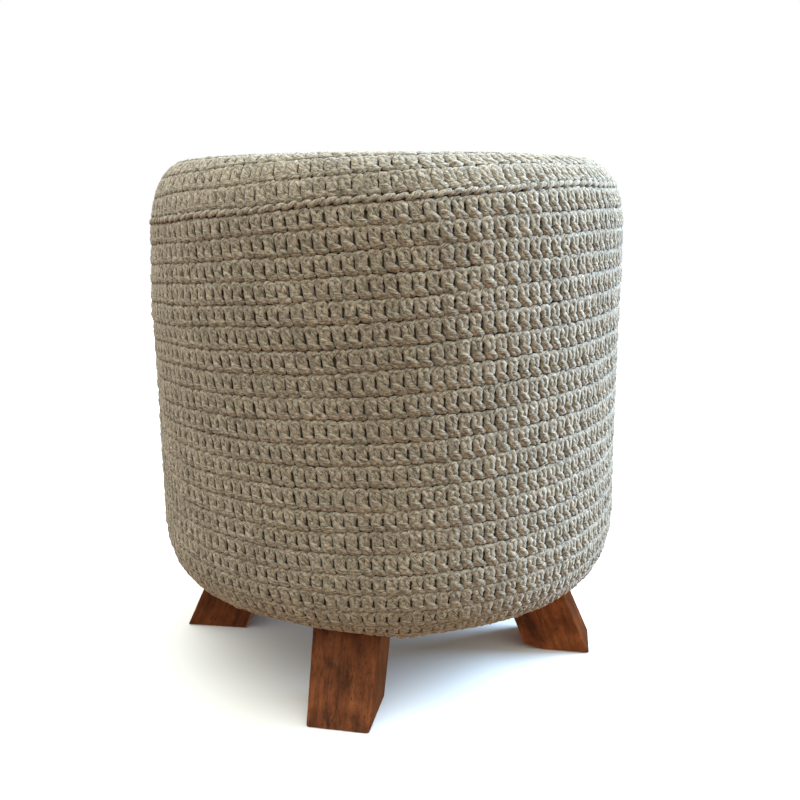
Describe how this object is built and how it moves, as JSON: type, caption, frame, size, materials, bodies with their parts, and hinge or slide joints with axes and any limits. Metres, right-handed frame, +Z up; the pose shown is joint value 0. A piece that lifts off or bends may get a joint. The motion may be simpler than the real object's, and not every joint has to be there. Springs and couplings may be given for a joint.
{
  "type": "crochet pouf",
  "caption": "Round filled pouf in a crocheted yarn cover, with a softly crowned top, a raised ridge below the shoulder and a drawn-in hem, standing on short splayed wooden legs as a low seat.",
  "frame": {"origin": "on the floor under the middle of the drum", "axes": "+Z up through the middle of the seat, -Y towards the front leg, +X towards the right leg as seen from the front"},
  "size_m": [0.4025, 0.4001, 0.434],
  "materials": {
    "yarn": "matte heathered grey-beige crochet yarn",
    "wood": "red-brown stain, satin"
  },
  "bodies": {
    "root": {"cover": "yarn", "leg_front": "wood", "leg_right": "wood", "leg_back": "wood", "leg_left": "wood"}
  },
  "joints": []
}
